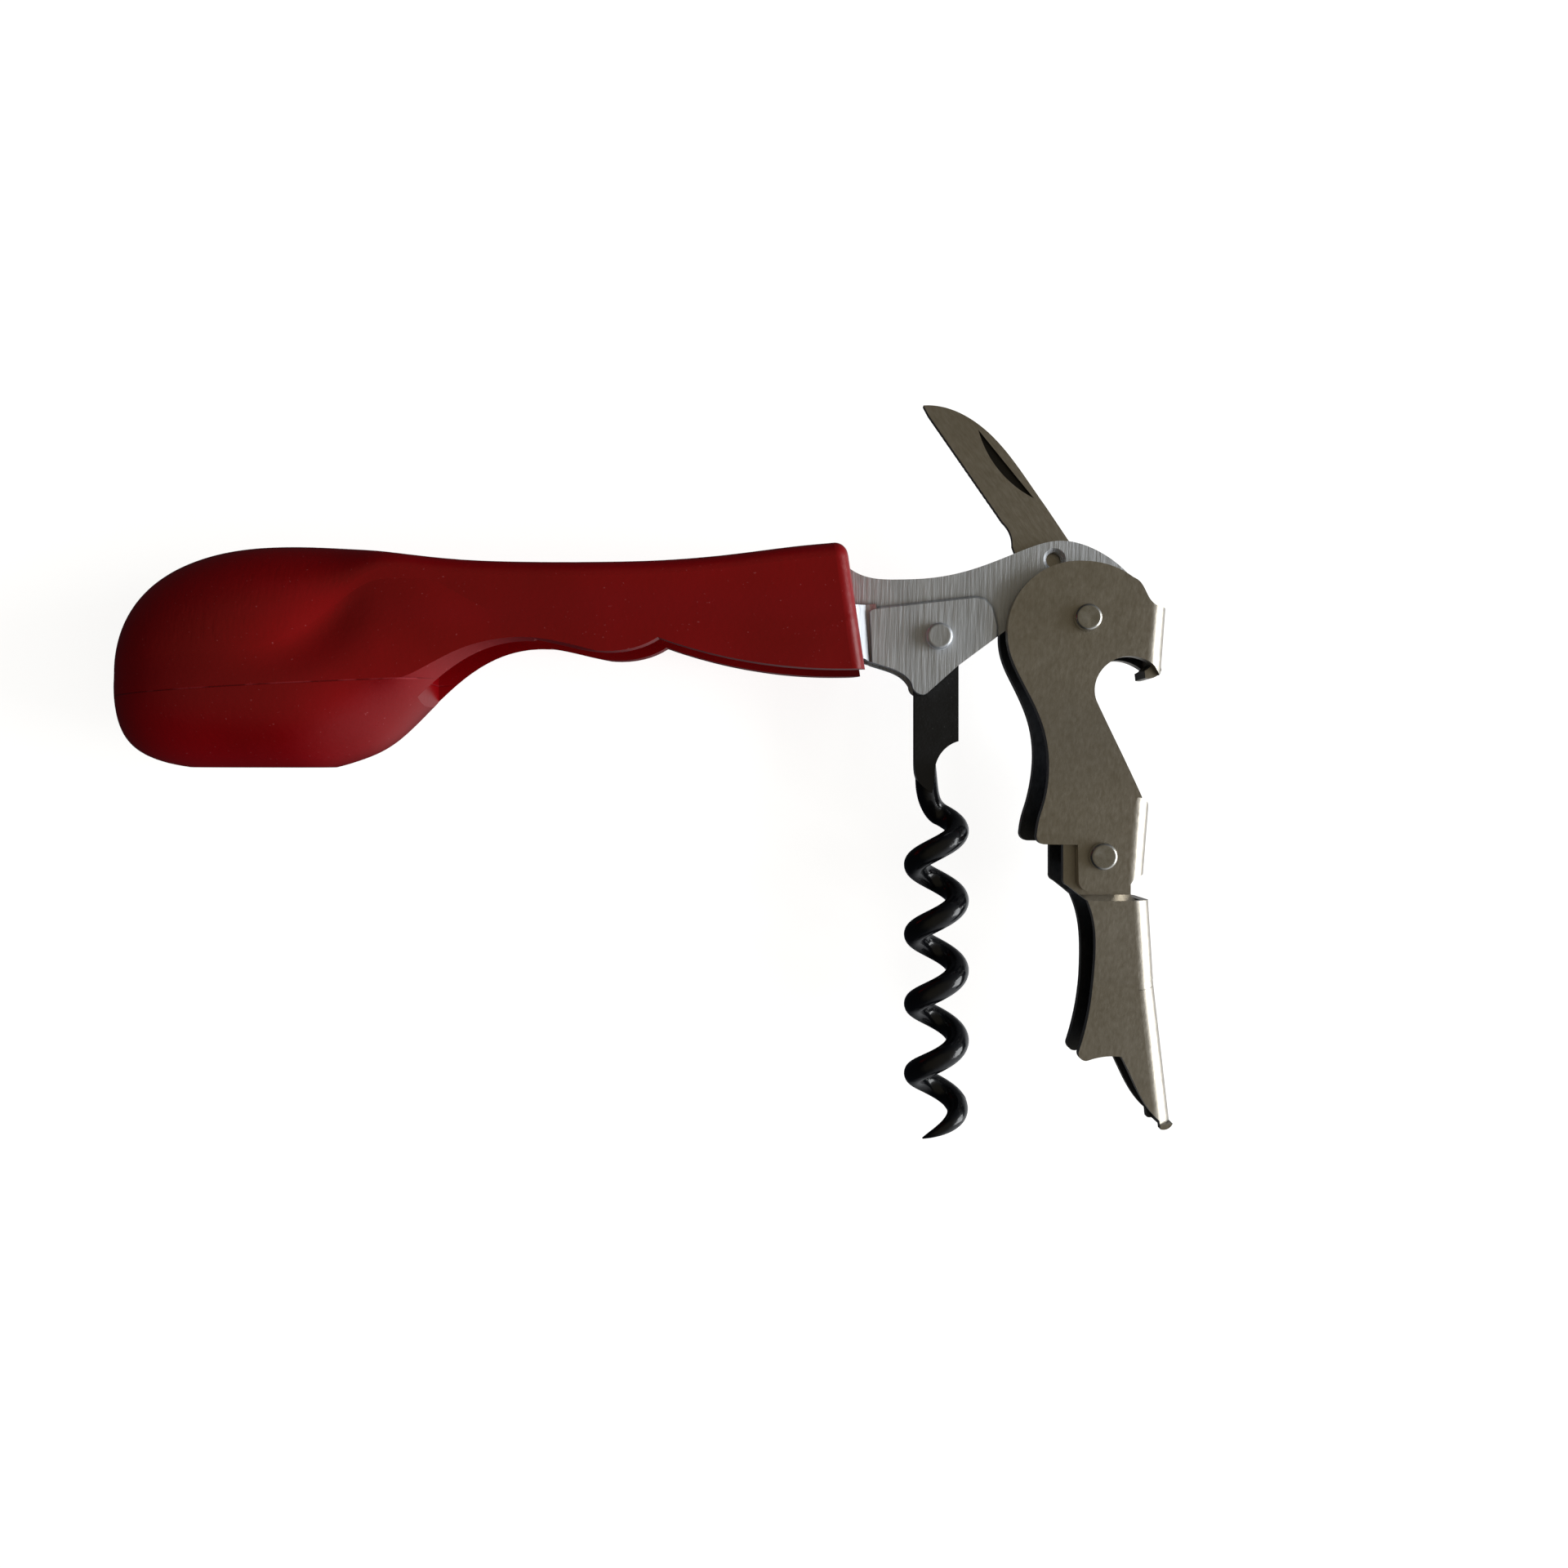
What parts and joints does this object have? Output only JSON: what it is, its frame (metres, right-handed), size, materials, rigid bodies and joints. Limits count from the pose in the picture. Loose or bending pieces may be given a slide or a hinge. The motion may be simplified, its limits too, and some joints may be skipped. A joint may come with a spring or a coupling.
{
  "type": "waiters corkscrew",
  "caption": "Folding corkscrew with a bulb-ended red handle, coated worm, serrated foil knife and a stepped, hinged bottle lever with a cap lifter.",
  "frame": {"origin": "under the middle of the part's bounding box, in the plane that it lies on when on its side", "axes": "+X along the handle towards the lever, +Y from the worm's tip towards the knife, +Z across the thickness, along the rivets"},
  "size_m": [0.137, 0.0958, 0.0209],
  "materials": {
    "handle_plastic": "satin moulded red",
    "frame_steel": "vertically brushed stainless",
    "rivet_steel": "satin",
    "worm_coating": "black non-stick coating",
    "blade_steel": "satin",
    "washer_steel": "plain",
    "lever_steel": "satin stainless"
  },
  "bodies": {
    "handle": {"handle_upper_shell": "handle_plastic", "handle_lower_shell": "handle_plastic", "front_cheek": "frame_steel", "back_cheek": "frame_steel", "tang_spacer": "frame_steel", "tang_rivet_front": "rivet_steel", "tang_rivet_rear": "rivet_steel", "worm_rivet": "rivet_steel", "worm_washer_front": "washer_steel", "worm_washer_back": "washer_steel", "knife_washer_front": "washer_steel", "knife_washer_back": "washer_steel", "lever_rivet": "rivet_steel"},
    "worm": {"worm": "worm_coating"},
    "knife": {"foil_knife": "blade_steel"},
    "lever": {"upper_lever": "lever_steel", "hinge_rivet": "rivet_steel", "hinge_sleeve": "rivet_steel"},
    "lower_lever": {"lower_lever": "lever_steel"}
  },
  "joints": [
    {"name": "worm_swing", "type": "hinge", "parent": "handle", "child": "worm", "pos_m": [0.03891, 0.0173, 0.01055], "axis": [0, 0, 1], "range_deg": [-90, 0]},
    {"name": "knife_swing", "type": "hinge", "parent": "handle", "child": "knife", "pos_m": [0.05787, 0.01959, 0.01055], "axis": [0, 0, 1], "range_deg": [-44, 42]},
    {"name": "lever_swing", "type": "hinge", "parent": "handle", "child": "lever", "pos_m": [0.05787, 0.01959, 0.01055], "axis": [0, 0, 1], "range_deg": [-5, 40]},
    {"name": "lower_lever_swing", "type": "hinge", "parent": "lever", "child": "lower_lever", "pos_m": [0.05914, -0.01092, 0.01055], "axis": [0, 0, 1], "range_deg": [-15, 8]}
  ]
}
